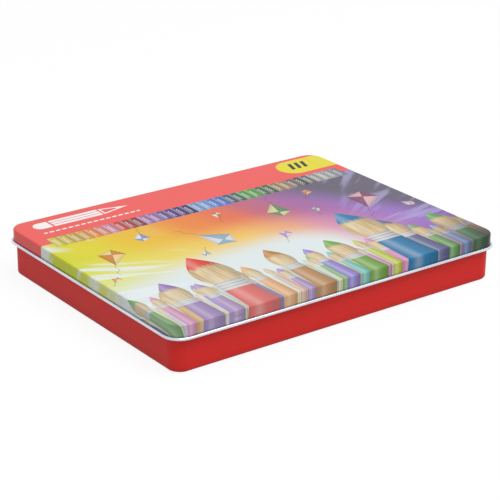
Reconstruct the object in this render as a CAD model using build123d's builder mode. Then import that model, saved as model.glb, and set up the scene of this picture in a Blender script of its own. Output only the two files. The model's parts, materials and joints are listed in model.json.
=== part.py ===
"""A flat tinplate box of coloured pencils: a lid on two hinges at the back, a foam pad under the
lid, and two plastic trays, one on the other, with a row of hexagonal pencils in each.

Millimetres. +Z is up, +X runs along the row of pencils, and the hinge is at the back, at +Y.
The origin is at the middle of the face that the box stands on.
"""

import os
from math import atan, cos, degrees, radians, sqrt, tan

from build123d import *

# ---------------------------------------------------------------- driving dimensions

# Pencils
pencil_length = 177.0
pencil_across_flats = 6.9
pencil_edge_radius = 0.7
pencil_gap = 0.4  # between two pencils of a row
core_diameter = 3.0
core_tip_radius = 0.3
sharpening_angle = 11.5  # half the angle of the cone, in degrees
pencils_per_family = 3

# The colour families of each row, from left to right
upper_families = (
    "lemon",
    "yellow",
    "orange",
    "scarlet",
    "rose",
    "magenta",
    "violet",
    "indigo",
    "blue",
    "sky",
    "turquoise",
    "green",
)
lower_families = (
    "lime",
    "olive",
    "forest",
    "teal",
    "navy",
    "plum",
    "maroon",
    "rust",
    "ochre",
    "brown",
    "grey",
    "black",
)

# Trays, formed from plastic sheet
tray_sheet = 0.5
tray_height = 13.7
tray_rim_width = 3.25  # beside the row of pencils
tray_shelf_width = 12.65  # before and behind the row
tray_corner_radius = 8.2
tray_bed_height = 2.9  # the lowest line of a groove
tray_trough_width = 26.0  # the flat trough across the middle, for the fingers
tray_clearance = 1.0  # to the wall of the base
pencil_end_play = 0.5
pencil_lift = 0.1  # between a pencil and its groove
well_length = 60.0
well_width = 8.4
well_depth = 10.5
well_corner_radius = 3.0

# Tinplate
tin_sheet = 0.3
base_bend_radius = 2.6
floor_panel_rise = 0.6
floor_panel_border = 9.0  # from the outside of the base to the raised panel
skirt_gap = 1.75  # between the wall of the base and the skirt of the lid
rim_clearance = 0.5  # between the base's curled rim and the skirt
rim_drop = 2.0  # from the inside of the lid down to the rim
lid_edge_radius = 1.1
lid_skirt_height = 10.55
bead_diameter = 2.16
curl_gap = 0.22  # the slit between a curled edge and the wall

# Catches: two dimples in the front of the skirt, which click under the base's curled rim
catch_spacing = 178.0
catch_length = 7.0
catch_height = 3.2
catch_drop = 2.0  # below the middle of the rim's curl
catch_clearance = 0.08  # to the rim as it goes by

# Pad
pad_thickness = 4.0
pad_clearance = 1.9  # over the upper tray
pad_corner_radius = 3.0

# Hinges
hinge_spacing = 150.0
knuckle_length = 24.0
knuckle_side_gap = 0.2
knuckle_wall_gap = 0.05  # around the pin
pin_diameter = 1.4
pin_engagement = 10.0  # in the bead, each side of the knuckle
notch_height = 1.6  # above the pin's axis
tab_bend_radius = 0.45

# ---------------------------------------------------------------- sizes that follow

families_per_row = len(upper_families)
pencil_pitch = pencil_across_flats + pencil_gap
row_width = families_per_row * pencils_per_family * pencil_pitch
groove_angle = 30.0  # the slope of a hexagon that stands on its edge
ridge_height = pencil_pitch / 2 * tan(radians(groove_angle))
corner_reach = pencil_across_flats / 2 / cos(radians(groove_angle))

pocket_length = row_width
pocket_width = pencil_length + 2 * pencil_end_play
tray_length = pocket_length + 2 * tray_rim_width
tray_width = pocket_width + 2 * tray_shelf_width

base_length = tray_length + 2 * (tray_clearance + tin_sheet)
base_width = tray_width + 2 * (tray_clearance + tin_sheet)
base_corner_radius = tray_corner_radius + tray_clearance + tin_sheet
lid_length = base_length + 2 * (skirt_gap + tin_sheet)
lid_width = base_width + 2 * (skirt_gap + tin_sheet)
lid_corner_radius = base_corner_radius + skirt_gap + tin_sheet

floor_top = floor_panel_rise + tin_sheet
lower_tray_bottom = floor_top
upper_tray_bottom = lower_tray_bottom + tray_height
pad_bottom = upper_tray_bottom + tray_height + pad_clearance
lid_inside = pad_bottom + pad_thickness
tin_height = lid_inside + tin_sheet
rim_top = lid_inside - rim_drop
rim_curl_diameter = skirt_gap + tin_sheet - rim_clearance
rim_curl_z = rim_top - rim_curl_diameter / 2

bead_radius = bead_diameter / 2
axis_z = tin_height - lid_skirt_height + bead_radius
axis_y = lid_width / 2 - tin_sheet + bead_radius
pin_radius = pin_diameter / 2
knuckle_middle_radius = pin_radius + knuckle_wall_gap + tin_sheet / 2
notch_length = knuckle_length + 2 * knuckle_side_gap
pin_length = notch_length + 2 * pin_engagement
hinge_places = {"left": -hinge_spacing / 2, "right": hinge_spacing / 2}

sheet_overlap = 1.0  # how far a swept edge runs into the plate that it carries

os.makedirs("parts", exist_ok=True)


def write(part, name):
    """Label a finished piece and write it to its own file."""
    part.label = name
    export_step(part, f"parts/{name}.step")


def rounded_path(length, width, radius):
    """The closed line round a box, from the middle of its front."""
    straight_x = length / 2 - radius
    straight_y = width / 2 - radius
    with BuildLine(Plane.XY) as path:
        Line((0, -width / 2), (straight_x, -width / 2))
        CenterArc((straight_x, -straight_y), radius, -90, 90)
        Line((length / 2, -straight_y), (length / 2, straight_y))
        CenterArc((straight_x, straight_y), radius, 0, 90)
        Line((straight_x, width / 2), (-straight_x, width / 2))
        CenterArc((-straight_x, straight_y), radius, 90, 90)
        Line((-length / 2, straight_y), (-length / 2, -straight_y))
        CenterArc((-straight_x, -straight_y), radius, 180, 90)
        Line((-straight_x, -width / 2), (0, -width / 2))
    return path.wire()


def curl_span(radius):
    """How far round a curled edge goes before its slit, in degrees."""
    middle = radius - tin_sheet / 2
    reach = middle - tin_sheet / 2 - curl_gap
    slit = atan(sqrt(radius**2 - reach**2) / reach)
    return 360 - degrees(slit)


def front_plane(width):
    """The plane across the front wall: local x runs outwards and local y runs up."""
    return Plane(origin=(0, -width / 2, 0), x_dir=(0, -1, 0), z_dir=(-1, 0, 0))


# ---------------------------------------------------------------- base shell

half_sheet = tin_sheet / 2
rim_middle_radius = (rim_curl_diameter - tin_sheet) / 2
base_bend_middle = base_bend_radius - half_sheet
panel_length = base_length - 2 * floor_panel_border
panel_width = base_width - 2 * floor_panel_border
panel_corner_radius = base_corner_radius
tab_wall_y = base_width / 2 - tin_sheet + rim_curl_diameter - half_sheet
tab_foot_z = axis_z - knuckle_middle_radius

with BuildPart() as base_shell:
    with BuildSketch(front_plane(base_width)):
        with BuildLine():
            Line(
                (-base_bend_radius - sheet_overlap, half_sheet),
                (-base_bend_radius, half_sheet),
            )
            CenterArc((-base_bend_radius, base_bend_radius), base_bend_middle, -90, 90)
            Line((-half_sheet, base_bend_radius), (-half_sheet, rim_curl_z))
            CenterArc(
                (-half_sheet + rim_middle_radius, rim_curl_z),
                rim_middle_radius,
                180,
                -curl_span(rim_curl_diameter / 2),
            )
        trace(line_width=tin_sheet)
    sweep(path=rounded_path(base_length, base_width, base_corner_radius))
    with BuildSketch(Plane.XY):
        RectangleRounded(
            base_length - 2 * base_bend_radius,
            base_width - 2 * base_bend_radius,
            base_corner_radius - base_bend_radius,
        )
        RectangleRounded(
            panel_length, panel_width, panel_corner_radius, mode=Mode.SUBTRACT
        )
    extrude(amount=tin_sheet)
    with BuildSketch(Plane.XY):
        RectangleRounded(panel_length, panel_width, panel_corner_radius)
        offset(amount=-tin_sheet, mode=Mode.SUBTRACT)
    extrude(amount=floor_top)
    with BuildSketch(Plane.XY.offset(floor_panel_rise)):
        RectangleRounded(panel_length, panel_width, panel_corner_radius)
    extrude(amount=tin_sheet)
    for hinge_x in hinge_places.values():
        tab_plane = Plane(
            origin=(hinge_x - knuckle_length / 2, 0, 0),
            x_dir=(0, 1, 0),
            z_dir=(1, 0, 0),
        )
        with BuildSketch(tab_plane):
            with BuildLine():
                Line((tab_wall_y, rim_curl_z), (tab_wall_y, tab_foot_z + tab_bend_radius))
                CenterArc(
                    (tab_wall_y + tab_bend_radius, tab_foot_z + tab_bend_radius),
                    tab_bend_radius,
                    180,
                    90,
                )
                Line((tab_wall_y + tab_bend_radius, tab_foot_z), (axis_y, tab_foot_z))
                CenterArc((axis_y, axis_z), knuckle_middle_radius, -90, 250)
            trace(line_width=tin_sheet)
        extrude(amount=knuckle_length)
write(base_shell.part, "base_shell")

# ---------------------------------------------------------------- lid shell

lid_edge_middle = lid_edge_radius - half_sheet
bead_middle_radius = bead_radius - half_sheet
catch_depth = rim_clearance - catch_clearance
catch_radius = ((catch_height / 2) ** 2 + catch_depth**2) / (2 * catch_depth)
catch_middle_y = -lid_width / 2 - catch_radius + catch_depth
catch_middle_z = rim_curl_z - catch_drop
catch_straight = catch_length - catch_height


def catch_punches(radius):
    """The two round-ended bars that press the catches into the skirt."""
    with BuildPart() as punch:
        with BuildSketch(Plane.XY):
            SlotCenterToCenter(catch_straight, 2 * radius)
            with Locations((0, -radius)):
                Rectangle(catch_straight + 2 * radius, 2 * radius, mode=Mode.SUBTRACT)
        revolve(axis=Axis.X)
    with BuildPart() as punches:
        with Locations(
            (-catch_spacing / 2, catch_middle_y, catch_middle_z),
            (catch_spacing / 2, catch_middle_y, catch_middle_z),
        ):
            add(punch.part)
    return punches.part


# The skin of the catches is what a punch one sheet thicker pushes past the skirt's inner face.
with BuildPart() as catch_skins:
    add(catch_punches(catch_radius + tin_sheet))
    with BuildSketch(Plane.XY.offset(catch_middle_z)):
        with Locations((0, -lid_width / 2 + tin_sheet + skirt_gap / 2)):
            Rectangle(lid_length, skirt_gap)
    extrude(amount=catch_height, both=True, mode=Mode.INTERSECT)

with BuildPart() as lid_shell:
    with BuildSketch(front_plane(lid_width)):
        with BuildLine():
            Line(
                (-lid_edge_radius - sheet_overlap, tin_height - half_sheet),
                (-lid_edge_radius, tin_height - half_sheet),
            )
            CenterArc(
                (-lid_edge_radius, tin_height - lid_edge_radius), lid_edge_middle, 90, -90
            )
            Line((-half_sheet, tin_height - lid_edge_radius), (-half_sheet, axis_z))
            CenterArc(
                (-half_sheet + bead_middle_radius, axis_z),
                bead_middle_radius,
                180,
                curl_span(bead_radius),
            )
        trace(line_width=tin_sheet)
    sweep(path=rounded_path(lid_length, lid_width, lid_corner_radius))
    with BuildSketch(Plane.XY.offset(lid_inside)):
        RectangleRounded(
            lid_length - 2 * lid_edge_radius,
            lid_width - 2 * lid_edge_radius,
            lid_corner_radius - lid_edge_radius,
        )
    extrude(amount=tin_sheet)
    for hinge_x in hinge_places.values():
        with BuildSketch(Plane.XY.offset(axis_z - bead_diameter)):
            with Locations((hinge_x, axis_y)):
                Rectangle(notch_length, 2 * bead_diameter)
        extrude(amount=bead_diameter + notch_height, mode=Mode.SUBTRACT)
    add(catch_skins.part)
    add(catch_punches(catch_radius), mode=Mode.SUBTRACT)
write(lid_shell.part, "lid_shell")

# ---------------------------------------------------------------- hinge pins

for side, hinge_x in hinge_places.items():
    pin_plane = Plane(
        origin=(hinge_x, axis_y, axis_z), x_dir=(0, 1, 0), z_dir=(1, 0, 0)
    )
    with BuildPart() as hinge_pin:
        with BuildSketch(pin_plane):
            Circle(pin_radius)
        extrude(amount=pin_length / 2, both=True)
    write(hinge_pin.part, f"hinge_pin_{side}")

# ---------------------------------------------------------------- foam pad

with BuildPart() as foam_pad:
    with BuildSketch(Plane.XY.offset(pad_bottom)):
        RectangleRounded(pocket_length, pocket_width, pad_corner_radius)
    extrude(amount=pad_thickness)
write(foam_pad.part, "foam_pad")

# ---------------------------------------------------------------- trays


def groove_outline(top, drop, spread):
    """The closed line of the pencils' bed, seen along the pencils, up to a height. Drop lowers it
    and spread widens it, which gives the other face of the sheet."""
    half = pocket_length / 2 + spread
    bottom = tray_bed_height - drop
    points = [(-half, top), (-half, bottom + ridge_height)]
    for groove in range(families_per_row * pencils_per_family):
        left = -row_width / 2 + groove * pencil_pitch
        if groove > 0:
            points.append((left, bottom + ridge_height))
        points.append((left + pencil_pitch / 2, bottom))
    points += [(half, bottom + ridge_height), (half, top)]
    return points


def tray_hollows(bottom, sheet):
    """What is open above the sheet of a tray. With the sheet's thickness it gives the same
    hollows from below."""
    with BuildPart() as hollows:
        with BuildSketch(Plane.XZ):
            with BuildLine():
                slope_drop = sheet / cos(radians(groove_angle))
                outline = groove_outline(tray_height, slope_drop, sheet)
                Polyline(*[(x, bottom + z) for x, z in outline], close=True)
            make_face()
        extrude(amount=pocket_width / 2 + sheet, both=True)
        with BuildSketch(Plane.XY.offset(bottom + tray_sheet - sheet)):
            Rectangle(pocket_length + 2 * sheet, tray_trough_width + 2 * sheet)
        extrude(amount=tray_height - tray_sheet + sheet)
        well_y = pocket_width / 2 + tray_shelf_width / 2
        with BuildSketch(Plane.XY.offset(bottom + tray_height)):
            with Locations((0, well_y), (0, -well_y)):
                RectangleRounded(
                    well_length + 2 * sheet,
                    well_width + 2 * sheet,
                    well_corner_radius + sheet,
                )
        extrude(amount=-well_depth - sheet)
    return hollows.part


def tray(bottom):
    """A tray that stands at a height: a block with its hollows above and its hollow below."""
    with BuildPart() as under:
        with BuildSketch(Plane.XY.offset(bottom)):
            RectangleRounded(
                tray_length - 2 * tray_sheet,
                tray_width - 2 * tray_sheet,
                tray_corner_radius - tray_sheet,
            )
        extrude(amount=tray_height - tray_sheet)
        add(tray_hollows(bottom, tray_sheet), mode=Mode.SUBTRACT)
    with BuildPart() as formed:
        with BuildSketch(Plane.XY.offset(bottom)):
            RectangleRounded(tray_length, tray_width, tray_corner_radius)
        extrude(amount=tray_height)
        add(tray_hollows(bottom, 0), mode=Mode.SUBTRACT)
        add(under.part, mode=Mode.SUBTRACT)
    return formed.part


write(tray(lower_tray_bottom), "lower_tray")
write(tray(upper_tray_bottom), "upper_tray")

# ---------------------------------------------------------------- pencils

# The pencil lies along Y with its point at the back, at +Y, and its axis at the origin.
core_radius = core_diameter / 2
slope = tan(radians(sharpening_angle))
point_y = pencil_length / 2
wood_end_y = point_y - (core_radius - core_tip_radius) / slope
cone_start_radius = 2 * corner_reach
cone_start_y = wood_end_y - (cone_start_radius - core_radius) / slope

with BuildPart() as one_barrel:
    with BuildSketch(Plane.XZ.offset(pencil_length / 2)):
        RegularPolygon(corner_reach, 6, rotation=groove_angle)
        fillet(vertices(), pencil_edge_radius)
        Circle(core_radius, mode=Mode.SUBTRACT)
    extrude(amount=-(wood_end_y + pencil_length / 2))
    with BuildSketch(Plane.XY):
        with BuildLine():
            Polyline(
                (core_radius, wood_end_y),
                (cone_start_radius, wood_end_y),
                (cone_start_radius, cone_start_y),
                close=True,
            )
        make_face()
    revolve(axis=Axis.Y, mode=Mode.SUBTRACT)

with BuildPart() as one_core:
    with BuildSketch(Plane.XY):
        with BuildLine():
            Polyline(
                (0, -pencil_length / 2),
                (core_radius, -pencil_length / 2),
                (core_radius, wood_end_y),
                (core_tip_radius, point_y),
                (0, point_y),
                close=True,
            )
        make_face()
    revolve(axis=Axis.Y)


def write_row(families, bottom):
    """Write the barrels and the cores of a row, a family of pencils to each pair of files."""
    axis_height = bottom + tray_bed_height + pencil_lift + corner_reach
    first_x = -row_width / 2 + pencil_pitch / 2
    for place, family in enumerate(families):
        spots = []
        for pencil in range(pencils_per_family):
            number = place * pencils_per_family + pencil
            spots.append((first_x + number * pencil_pitch, 0, axis_height))
        with BuildPart() as barrels:
            with Locations(*spots):
                add(one_barrel.part)
        write(barrels.part, f"{family}_barrels")
        with BuildPart() as cores:
            with Locations(*spots):
                add(one_core.part)
        write(cores.part, f"{family}_cores")


write_row(upper_families, upper_tray_bottom)
write_row(lower_families, lower_tray_bottom)
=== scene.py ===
"""The looks of a flat tin of coloured pencils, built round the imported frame.

It is laid out as a Blender add-on and run as a script. Lengths in the property groups are in
metres, apart from the lens. The printed picture is drawn in millimetres: "across" runs along the
lid from its middle, and "down" runs from the lid's back edge to its front edge and on down the
skirt.
"""

import json
from math import radians
from typing import NamedTuple

import bmesh
import bpy
from mathutils import Matrix, Vector, noise


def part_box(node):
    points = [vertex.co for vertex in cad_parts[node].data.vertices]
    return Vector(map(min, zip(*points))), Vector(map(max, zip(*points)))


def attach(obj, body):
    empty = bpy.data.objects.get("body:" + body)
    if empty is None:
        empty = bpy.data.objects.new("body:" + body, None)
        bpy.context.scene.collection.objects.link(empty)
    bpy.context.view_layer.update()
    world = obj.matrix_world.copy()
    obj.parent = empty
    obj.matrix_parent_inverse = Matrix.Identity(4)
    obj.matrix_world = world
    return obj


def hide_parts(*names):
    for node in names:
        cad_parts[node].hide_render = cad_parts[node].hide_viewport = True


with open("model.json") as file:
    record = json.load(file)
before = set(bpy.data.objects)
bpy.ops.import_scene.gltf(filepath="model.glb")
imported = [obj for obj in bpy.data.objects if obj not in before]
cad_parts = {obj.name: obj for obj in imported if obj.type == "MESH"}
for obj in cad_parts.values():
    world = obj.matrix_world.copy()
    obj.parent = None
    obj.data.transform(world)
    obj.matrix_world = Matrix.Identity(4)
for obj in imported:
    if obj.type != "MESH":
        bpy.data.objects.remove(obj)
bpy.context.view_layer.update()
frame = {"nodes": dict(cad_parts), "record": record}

bl_info = {
    "name": "Coloured Pencil Tin",
    "version": (1, 0, 0),
    "blender": (4, 5, 0),
    "location": "View3D > Sidebar > Pencil Tin",
    "description": "Finishes and soft parts of a printed tin of coloured pencils",
    "category": "Object",
}

MM = 0.001

# The frame's own sizes that the finishes follow, in millimetres
LID_LENGTH = 276.0
LID_WIDTH = 210.0
LID_CORNER_RADIUS = 11.55
LID_TOP = 34.5
LID_BEND = 1.3  # how far in from the wall the round edge of the top begins
CREASE_DROP = 8.3  # how far below the lid's top the bead begins
BASE_LENGTH = 271.9
BASE_WIDTH = 205.9
BASE_CORNER_RADIUS = 9.5
BASE_BEND = 2.8
FOOT_SHADE_HEIGHT = 8.0  # how far up the base's red is painted darker at its foot, a painted shade near the floor
PRINT_REACH = 0.09  # how far past its outline a sheet is printed: its curled edge lies further out
PENCIL_PITCH = 7.3
PENCIL_ROW = 262.8
UPPER_PENCIL_Z = 21.584  # the pencils' axes
LOWER_PENCIL_Z = 7.884

UPPER_FAMILIES = (
    "lemon", "yellow", "orange", "scarlet", "rose", "magenta",
    "violet", "indigo", "blue", "sky", "turquoise", "green",
)
LOWER_FAMILIES = (
    "lime", "olive", "forest", "teal", "navy", "plum",
    "maroon", "rust", "ochre", "brown", "grey", "black",
)


# ---------------------------------------------------------------- colours


def linear(red, green, blue):
    """A colour written as a screen shows it, 0 to 255, as the shader wants it."""
    shares = (channel / 255 for channel in (red, green, blue))
    return tuple(
        share / 12.92 if share <= 0.04045 else ((share + 0.055) / 1.055) ** 2.4
        for share in shares
    )


def opaque(colour):
    return (*colour[:3], 1.0)


# Painted shade in the crease: a dark line on the lid's print just above the bead
CREASE_SHADE = (0.03, 0.03, 0.035)
CREASE_SHADE_SHARE = 0.35
# Painted shade at the foot: a darker red over the lowest part of the base, near the floor
FOOT_SHADE = (0.16, 0.002, 0.002)
FOOT_SHADE_SHARE = 0.16
INK_ROUGHNESS = 0.25  # what the ink adds to the roughness of the varnish over it
VARNISH_SHEEN = 0.055  # the white that the varnish adds on the lid's top
TOP_LIGHT = 1.10  # how strongly the stage lights the lid's top
DARKEST_INK = 0.003


def ink(red, green, blue):
    """An ink, written as it looks on the lid's top through the varnish."""
    return tuple(
        max(channel - VARNISH_SHEEN, DARKEST_INK) / TOP_LIGHT
        for channel in linear(red, green, blue)
    )


def inks(*shades):
    return tuple(ink(*shade) for shade in shades)


def record_colour(slot_name):
    """The colour that the part's record gives a material slot."""
    for material in frame["record"]["materials"]:
        if material["slot"] == slot_name:
            return linear(*(channel * 255 for channel in material["base_color"]))
    raise ValueError(f"the record has no slot named {slot_name}")


# ---------------------------------------------------------------- node helpers


class Field:
    """A number that changes over the surface. Arithmetic on it adds Math nodes to its tree."""

    def __init__(self, tree, socket):
        self.tree = tree
        self.socket = socket

    def __add__(self, other):
        return maths(self.tree, "ADD", self, other)

    __radd__ = __add__

    def __sub__(self, other):
        return maths(self.tree, "SUBTRACT", self, other)

    def __rsub__(self, other):
        return maths(self.tree, "SUBTRACT", other, self)

    def __mul__(self, other):
        return maths(self.tree, "MULTIPLY", self, other)

    __rmul__ = __mul__

    def __truediv__(self, other):
        return maths(self.tree, "DIVIDE", self, other)

    def __abs__(self):
        return maths(self.tree, "ABSOLUTE", self)

    def __gt__(self, other):
        return maths(self.tree, "GREATER_THAN", self, other)

    def __lt__(self, other):
        return maths(self.tree, "LESS_THAN", self, other)


def feed(tree, value, socket):
    """Give a socket a field, another socket, a colour or a plain number."""
    if isinstance(value, Field):
        tree.links.new(value.socket, socket)
    elif isinstance(value, bpy.types.NodeSocket):
        tree.links.new(value, socket)
    elif socket.type == "RGBA":
        socket.default_value = opaque(value)
    else:
        socket.default_value = value


def maths(tree, operation, *values):
    node = tree.nodes.new("ShaderNodeMath")
    node.operation = operation
    for value, socket in zip(values, node.inputs):
        feed(tree, value, socket)
    return Field(tree, node.outputs[0])


def most(first, second):
    return maths(first.tree, "MAXIMUM", first, second)


def least(first, second):
    return maths(first.tree, "MINIMUM", first, second)


def root(field):
    return maths(field.tree, "SQRT", field)


def sign(field):
    return maths(field.tree, "SIGN", field)


def whole(field):
    return maths(field.tree, "FLOOR", field)


def fraction(field):
    return maths(field.tree, "FRACT", field)


def sine(field):
    return maths(field.tree, "SINE", field)


def length(x, y):
    """The length of an arrow with these two legs."""
    return root(x * x + y * y)


def inverse(mask):
    return 1.0 - mask


def chosen(mask, off, on):
    """One field where the mask is 0, and the other where it is 1."""
    return off + (on - off) * mask


def scatter(number, seed):
    """A fixed number from 0 to 1 for each whole number, with no order that the eye can see.
    Its two factors only have to be large and uneven."""
    return fraction(sine(number * 12.99 + seed) * 437.5)


def fade(field, start, end):
    """0 before start, 1 after end, and a smooth step between them. Where start is the larger
    one, it is 0 above start and 1 below end."""
    node = field.tree.nodes.new("ShaderNodeMapRange")
    node.interpolation_type = "SMOOTHSTEP"
    feed(field.tree, field, node.inputs["Value"])
    if start > end:
        start, end = end, start
        node.inputs["To Min"].default_value = 1.0
        node.inputs["To Max"].default_value = 0.0
    feed(field.tree, start, node.inputs["From Min"])
    feed(field.tree, end, node.inputs["From Max"])
    return Field(field.tree, node.outputs["Result"])


def mixed(tree, share, under, over, blend="MIX"):
    """Two colours mixed: share 0 gives the one under, and 1 the one over."""
    node = tree.nodes.new("ShaderNodeMix")
    node.data_type = "RGBA"
    node.blend_type = blend
    feed(tree, share, node.inputs[0])
    feed(tree, under, node.inputs[6])
    feed(tree, over, node.inputs[7])
    return node.outputs[2]


def ramp(field, stops, steps=False):
    """A colour ramp over a field. Steps keeps each colour flat up to the next."""
    node = field.tree.nodes.new("ShaderNodeValToRGB")
    band = node.color_ramp
    band.interpolation = "CONSTANT" if steps else "EASE"
    while len(band.elements) < len(stops):
        band.elements.new(1.0)
    for element, (place, colour) in zip(band.elements, stops):
        element.position = place
        element.color = opaque(colour)
    feed(field.tree, field, node.inputs["Fac"])
    return node.outputs["Color"]


def palette(number, colours):
    """The colours of a list in turn, one for each whole number."""
    count = len(colours)
    share = fraction((number + 0.5) / count)
    stops = [(place / count, colour) for place, colour in enumerate(colours)]
    return ramp(share, stops, steps=True)


def split(tree, vector):
    node = tree.nodes.new("ShaderNodeSeparateXYZ")
    tree.links.new(vector, node.inputs[0])
    return [Field(tree, socket) for socket in node.outputs]


def joined(tree, x, y, z):
    node = tree.nodes.new("ShaderNodeCombineXYZ")
    for value, socket in zip((x, y, z), node.inputs):
        feed(tree, value, socket)
    return node.outputs[0]


def toned(tree, colour, tone):
    """A colour times a tone that changes over the surface. A tone of 1 leaves it as it is."""
    return mixed(tree, 1.0, colour, joined(tree, tone, tone, tone), "MULTIPLY")


def place_in_mm(tree):
    """Object coordinates in millimetres, as three fields."""
    coordinates = tree.nodes.new("ShaderNodeTexCoord")
    return [axis * 1000.0 for axis in split(tree, coordinates.outputs["Object"])]


def facing(tree):
    """The surface's direction in the object's own frame, as three fields."""
    coordinates = tree.nodes.new("ShaderNodeTexCoord")
    return split(tree, coordinates.outputs["Normal"])


def speckle(tree, vector, scale, detail=2.0, roughness=0.5):
    """Noise from 0 to 1 over a vector, with about scale patches to each of its units."""
    node = tree.nodes.new("ShaderNodeTexNoise")
    tree.links.new(vector, node.inputs["Vector"])
    node.inputs["Scale"].default_value = scale
    node.inputs["Detail"].default_value = detail
    node.inputs["Roughness"].default_value = roughness
    return Field(tree, node.outputs["Fac"])


SOCKET_KINDS = {
    "number": "NodeSocketFloat",
    "colour": "NodeSocketColor",
}


def numbers(*names):
    """Sockets of a group that all carry numbers."""
    return dict.fromkeys(names, "number")


class Group:
    """A shader node group while it is being made."""

    def __init__(self, name, inputs, outputs):
        self.tree = bpy.data.node_groups.new(name, "ShaderNodeTree")
        for in_out, sockets in (("INPUT", inputs), ("OUTPUT", outputs)):
            for socket_name, kind in sockets.items():
                self.tree.interface.new_socket(
                    name=socket_name, in_out=in_out, socket_type=SOCKET_KINDS[kind]
                )
        self.entry = self.tree.nodes.new("NodeGroupInput")
        self.exit = self.tree.nodes.new("NodeGroupOutput")

    def number(self, name):
        return Field(self.tree, self.entry.outputs[name])

    def give(self, name, value):
        feed(self.tree, value, self.exit.inputs[name])


def use_group(tree, name, **values):
    """Place a group in a material. Names of inputs are given with _ for each space."""
    node = tree.nodes.new("ShaderNodeGroup")
    node.node_tree = bpy.data.node_groups[name]
    for socket_name, value in values.items():
        feed(tree, value, node.inputs[socket_name.replace("_", " ")])
    return node.outputs


def new_material(name):
    material = bpy.data.materials.new(name)
    material.use_nodes = True
    tree = material.node_tree
    return material, tree, tree.nodes["Principled BSDF"]


def set_bump(tree, shader, height, depth):
    """Let a height from 0 to 1 raise the surface by a depth in millimetres."""
    bump = tree.nodes.new("ShaderNodeBump")
    bump.inputs["Distance"].default_value = depth * MM
    feed(tree, height, bump.inputs["Height"])
    tree.links.new(bump.outputs["Normal"], shader.inputs["Normal"])


def apply_finish(tree, shader, finish, depth):
    """Join the colour, roughness and height that a group gives to the shader."""
    feed(tree, finish["Colour"], shader.inputs["Base Color"])
    feed(tree, finish["Roughness"], shader.inputs["Roughness"])
    set_bump(tree, shader, finish["Height"], depth)


def dress(node_names, material):
    """Put a material on CAD nodes in place of their own."""
    for name in node_names:
        slots = frame["nodes"][name].material_slots
        if not slots:
            frame["nodes"][name].data.materials.append(material)
        for slot in slots:
            slot.material = material


# ---------------------------------------------------------------- shared groups


def make_drawn_sheet_group():
    """Tells the printed outside of a drawn box from its bare inside and curled edge, and unrolls
    the outside flat, so that a print runs over the edge and down the skirt."""
    group = Group(
        "Drawn Sheet",
        numbers(
            "Half Length", "Half Width", "Corner Radius", "Bend", "Face Height", "Face Side"
        ),
        numbers("Outside", "Across", "Down", "Drop"),
    )
    tree = group.tree
    x, y, z = place_in_mm(tree)
    normal_x, normal_y, normal_z = facing(tree)
    radius = group.number("Corner Radius")
    reach_x = most(abs(x) - (group.number("Half Length") - radius), 0.0)
    reach_y = most(abs(y) - (group.number("Half Width") - radius), 0.0)
    reach = most(length(reach_x, reach_y), 0.001)  # never 0, because it is divided by
    out_x = sign(x) * reach_x / reach
    out_y = sign(y) * reach_y / reach
    beyond = reach - radius
    drop = abs(z - group.number("Face Height"))
    looks_out = normal_x * out_x + normal_y * out_y > 0.25
    in_wall = (beyond > group.number("Bend") * -1.0) * (beyond < PRINT_REACH)
    face = (normal_z * group.number("Face Side") > 0.5) * (drop < 1.0)
    group.give("Outside", most(looks_out * in_wall, face))
    group.give("Across", x + out_x * drop)
    group.give("Down", group.number("Half Width") - (y + out_y * drop))
    group.give("Drop", drop)


def make_varnish_group():
    """The clear varnish on a print: fine orange peel, and gloss that is not quite even."""
    group = Group("Varnish", {}, numbers("Roughness", "Height", "Tone"))
    tree = group.tree
    x, y, z = place_in_mm(tree)
    here = joined(tree, x, y, z)
    peel = speckle(tree, here, 0.55, detail=3.0)
    patches = speckle(tree, here, 0.02, detail=2.0)
    grain = speckle(tree, here, 2.6, detail=1.0)
    group.give("Roughness", 0.10 + peel * 0.05 + patches * 0.08)
    group.give("Height", peel)
    group.give("Tone", 0.95 + grain * 0.06 + patches * 0.04)


def make_tinplate_group():
    """Bare lacquered tinplate: rolling grain along the sheet, cloudy crystals and a faint tint."""
    group = Group("Tinplate", {}, {"Colour": "colour", **numbers("Roughness", "Height")})
    tree = group.tree
    x, y, z = place_in_mm(tree)
    grain = speckle(tree, joined(tree, x * 0.02, y * 1.4, z * 1.4), 1.0, detail=4.0)
    clouds = speckle(tree, joined(tree, x, y, z), 0.035, detail=3.0)
    shade = grain * 0.35 + clouds * 0.65
    colour = ramp(
        shade,
        [
            (0.25, linear(188, 194, 206)),
            (0.55, linear(212, 217, 226)),
            (0.85, linear(230, 232, 236)),
        ],
    )
    group.give("Colour", colour)
    group.give("Roughness", 0.20 + grain * 0.14)
    group.give("Height", grain * 0.12)


def make_pencil_group():
    """Where a barrel's paint ends, which of its family a pencil is, and where on that pencil
    a point lies."""
    group = Group(
        "Pencil",
        numbers("Axis Height"),
        numbers("Bare", "Turn", "Local X", "Local Z", "Along"),
    )
    tree = group.tree
    x, y, z = place_in_mm(tree)
    normal_y = facing(tree)[1]
    place = (x + PENCIL_ROW / 2) / PENCIL_PITCH
    cone = normal_y > 0.08
    butt = normal_y < -0.5
    number = whole(place)
    group.give("Bare", most(cone, butt))
    group.give("Turn", number - whole(number / 3.0) * 3.0 - 1.0)
    group.give("Local X", (fraction(place) - 0.5) * PENCIL_PITCH)
    group.give("Local Z", z - group.number("Axis Height"))
    group.give("Along", y)


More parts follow.
